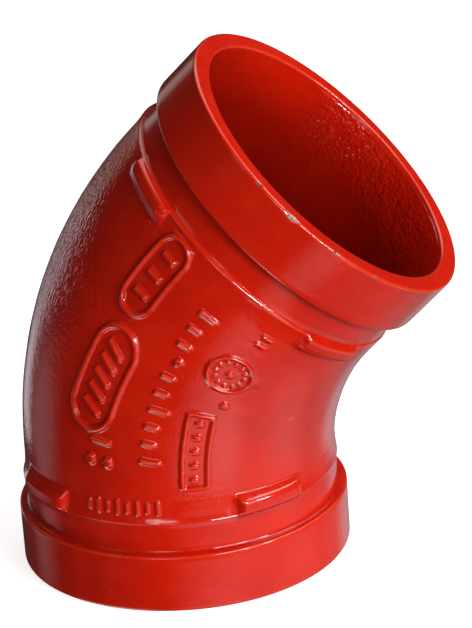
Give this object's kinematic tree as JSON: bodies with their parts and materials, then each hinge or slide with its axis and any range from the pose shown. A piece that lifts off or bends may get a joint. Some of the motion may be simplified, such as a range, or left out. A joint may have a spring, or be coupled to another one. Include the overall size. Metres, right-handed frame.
{
  "type": "grooved elbow",
  "caption": "45 degree pipe elbow, one iron casting with red gloss paint, a grooved end for a coupling at each mouth and raised stop pads beside the grooves.",
  "frame": {"origin": "centre of the lower end face", "axes": "+Z along the lower end's axis into the fitting; the bend lies in the XZ plane and turns towards +X, so the upper mouth faces halfway between +X and +Z; +Y is across the bend"},
  "size_m": [0.1208, 0.0888, 0.1404],
  "materials": {
    "red_paint": "gloss red enamel over an as-cast surface"
  },
  "bodies": {
    "root": {"elbow_casting": "red_paint"}
  },
  "joints": []
}
